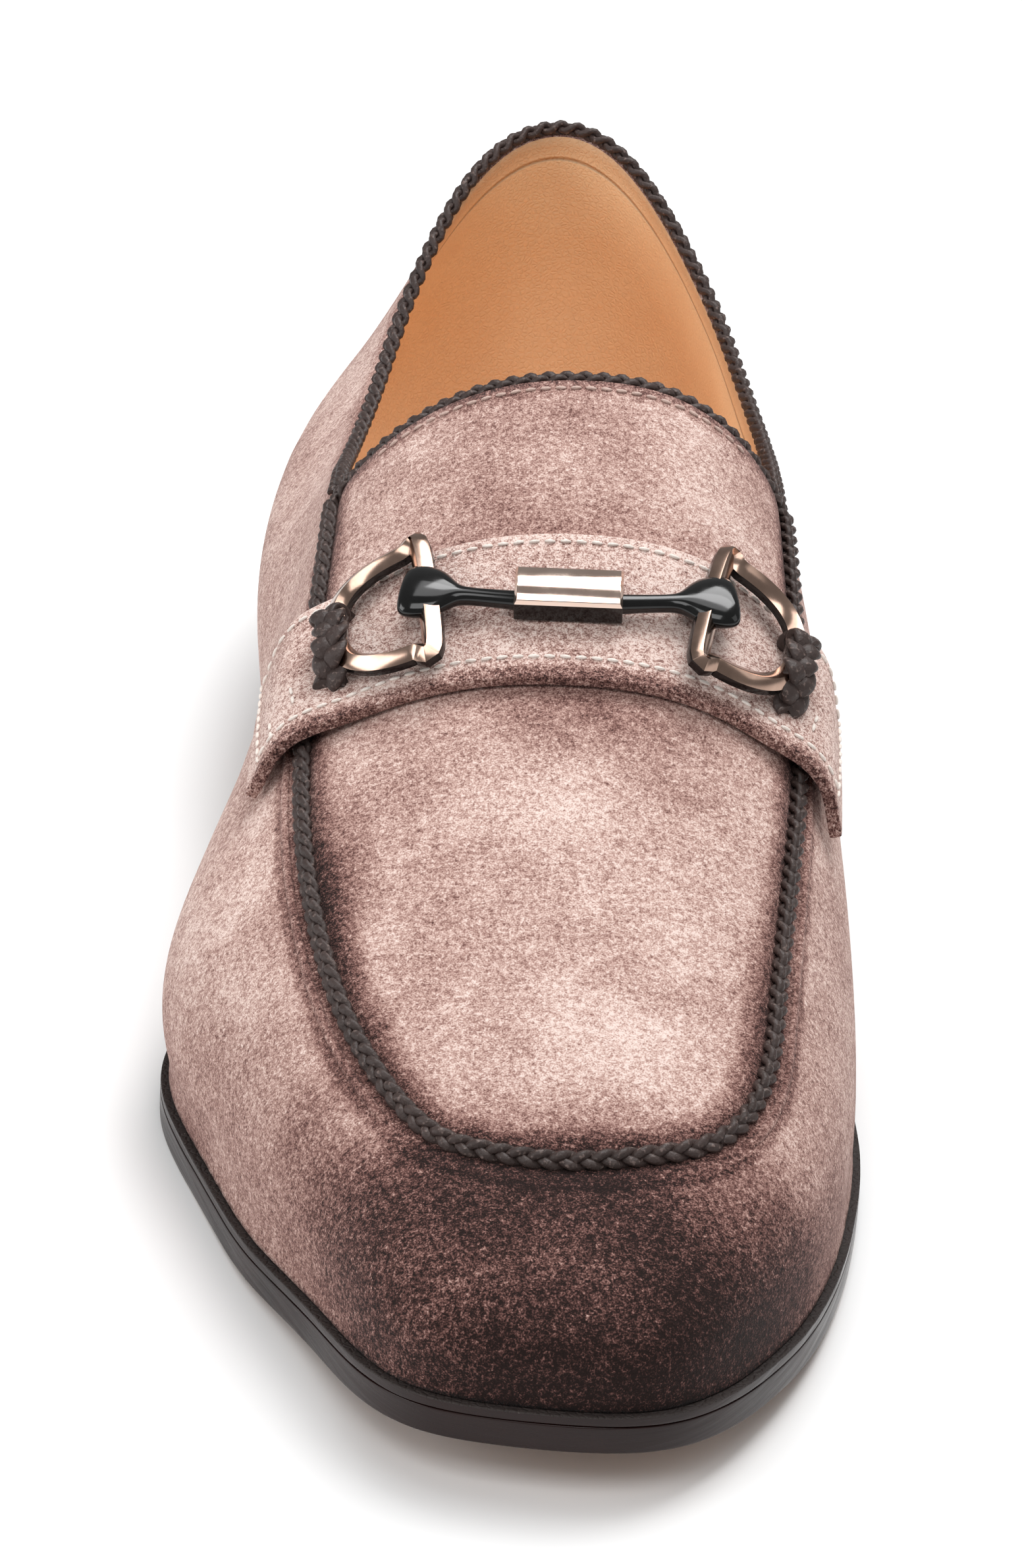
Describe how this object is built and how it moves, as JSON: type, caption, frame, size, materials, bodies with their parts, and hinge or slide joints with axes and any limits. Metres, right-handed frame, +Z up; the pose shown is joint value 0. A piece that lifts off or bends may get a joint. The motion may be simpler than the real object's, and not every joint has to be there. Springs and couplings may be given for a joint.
{
  "type": "bit loafer",
  "caption": "Slip-on suede loafer for the right foot with braided apron seam and collar, instep strap, D-ring bit, leather sole and low stacked heel.",
  "frame": {"origin": "bottom centre of the shoe's bounding box, on the ground it stands on", "axes": "+Z up, -Y towards the toe, +Y towards the heel, +X towards the inner (medial) side of the right foot"},
  "size_m": [0.1076, 0.3025, 0.0924],
  "materials": {
    "sole_leather": "polished edge",
    "rim_leather": "matte dyed edge",
    "heel_leather": "polished stack",
    "lining_leather": "smooth tan",
    "suede": "burnished suede",
    "braided_cord": "plaited cord",
    "strap_suede": "suede",
    "keeper_leather": "plaited",
    "rose_metal": "polished rose gold",
    "ring_metal": "polished rose gold",
    "enamel": "glossy black enamel"
  },
  "bodies": {
    "root": {"outsole": "sole_leather", "midsole": "rim_leather", "heel": "heel_leather", "insole": "lining_leather", "upper": "suede", "apron_braid": "braided_cord", "collar_braid": "braided_cord", "strap": "strap_suede", "bit_barrel": "rose_metal", "bit_bar_lateral": "enamel", "bit_bar_medial": "enamel", "ring_lateral": "ring_metal", "ring_medial": "ring_metal", "keeper_lateral": "keeper_leather", "keeper_medial": "keeper_leather"}
  },
  "joints": []
}
